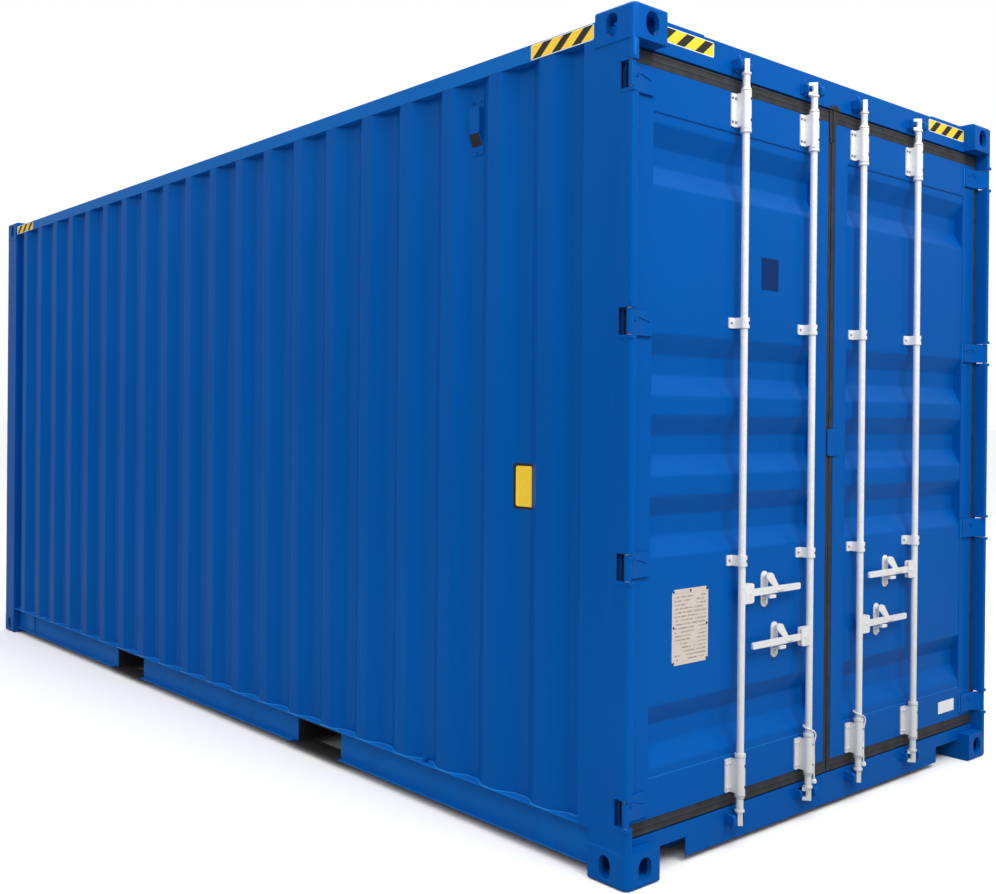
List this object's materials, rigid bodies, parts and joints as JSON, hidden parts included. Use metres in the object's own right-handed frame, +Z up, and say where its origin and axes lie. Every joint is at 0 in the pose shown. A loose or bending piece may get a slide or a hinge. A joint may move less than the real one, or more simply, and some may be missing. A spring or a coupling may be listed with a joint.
{
  "type": "shipping container",
  "caption": "High cube steel freight container with corrugated walls, cast corner fittings, fork pockets and hinged double doors closed by turning lock bars and lift handles.",
  "frame": {"origin": "ground level at the middle of the base", "axes": "+X out of the door end along the length, +Y across to the right door's side, +Z up"},
  "size_m": [6.058, 2.438, 2.896],
  "materials": {
    "paint": "satin paint",
    "underframe": "dark underbody coating",
    "floor_boards": "plywood",
    "seal": "matt",
    "zinc": "galvanised",
    "rope": "braided cord"
  },
  "bodies": {
    "container": {"bottom_side_rails": "paint", "cam_keepers": "paint", "corner_fittings_bottom": "paint", "corner_fittings_top": "paint", "cross_members": "underframe", "door_header": "paint", "door_hooks": "paint", "door_sill": "paint", "floor": "floor_boards", "fork_pocket_roofs": "underframe", "fork_pocket_sides": "underframe", "fork_pocket_straps": "underframe", "front_header": "paint", "front_posts": "paint", "front_sill": "paint", "front_wall": "paint", "hinge_pins": "zinc", "rear_post_left": "paint", "rear_post_right": "paint", "roof_end_plates": "paint", "roof_guard_plates": "paint", "roof_panel": "paint", "side_wall_left": "paint", "side_wall_right": "paint", "top_side_rails": "paint", "vents": "paint"},
    "left_door": {"left_door_frame": "paint", "left_door_panel": "paint", "left_door_seal": "seal", "left_door_hinges": "paint", "left_door_bar_brackets": "zinc", "left_door_handle_keeps": "zinc", "left_door_rope": "rope", "left_door_rope_knot": "rope"},
    "right_door": {"right_door_frame": "paint", "right_door_panel": "paint", "right_door_seal": "seal", "right_door_hinges": "paint", "right_door_bar_brackets": "zinc", "right_door_handle_keeps": "zinc", "door_lap_plate": "paint", "right_door_rope": "rope", "right_door_rope_knot": "rope"},
    "lock_bar_1": {"lock_bar_1": "zinc"},
    "handle_1": {"handle_1": "zinc"},
    "lock_bar_2": {"lock_bar_2": "zinc"},
    "handle_2": {"handle_2": "zinc"},
    "lock_bar_3": {"lock_bar_3": "zinc"},
    "handle_3": {"handle_3": "zinc"},
    "lock_bar_4": {"lock_bar_4": "zinc"},
    "handle_4": {"handle_4": "zinc"}
  },
  "joints": [
    {"name": "left_door_hinge", "type": "hinge", "parent": "container", "child": "left_door", "pos_m": [3.01, -1.206, 1.452], "axis": [0, 0, -1], "range_deg": [0, 265]},
    {"name": "right_door_hinge", "type": "hinge", "parent": "container", "child": "right_door", "pos_m": [3.01, 1.206, 1.452], "axis": [0, 0, 1], "range_deg": [0, 265]},
    {"name": "lock_bar_1_turn", "type": "hinge", "parent": "left_door", "child": "lock_bar_1", "pos_m": [3.007, -0.59999, 1.46], "axis": [0, 0, 1], "range_deg": [-120, 0]},
    {"name": "lock_bar_2_turn", "type": "hinge", "parent": "left_door", "child": "lock_bar_2", "pos_m": [3.007, -0.17505, 1.46], "axis": [0, 0, -1], "range_deg": [-120, 0]},
    {"name": "lock_bar_3_turn", "type": "hinge", "parent": "right_door", "child": "lock_bar_3", "pos_m": [3.007, 0.17505, 1.46], "axis": [0, 0, 1], "range_deg": [-120, 0]},
    {"name": "lock_bar_4_turn", "type": "hinge", "parent": "right_door", "child": "lock_bar_4", "pos_m": [3.007, 0.59999, 1.46], "axis": [0, 0, -1], "range_deg": [-120, 0]},
    {"name": "handle_1_lift", "type": "hinge", "parent": "lock_bar_1", "child": "handle_1", "pos_m": [3.007, -0.55799, 0.91193], "axis": [-1, 0, 0], "range_deg": [-25, 0]},
    {"name": "handle_2_lift", "type": "hinge", "parent": "lock_bar_2", "child": "handle_2", "pos_m": [3.007, -0.21705, 0.71609], "axis": [1, 0, 0], "range_deg": [-25, 0]},
    {"name": "handle_3_lift", "type": "hinge", "parent": "lock_bar_3", "child": "handle_3", "pos_m": [3.007, 0.21705, 0.71609], "axis": [-1, 0, 0], "range_deg": [-25, 0]},
    {"name": "handle_4_lift", "type": "hinge", "parent": "lock_bar_4", "child": "handle_4", "pos_m": [3.007, 0.55799, 0.91193], "axis": [1, 0, 0], "range_deg": [-25, 0]}
  ]
}
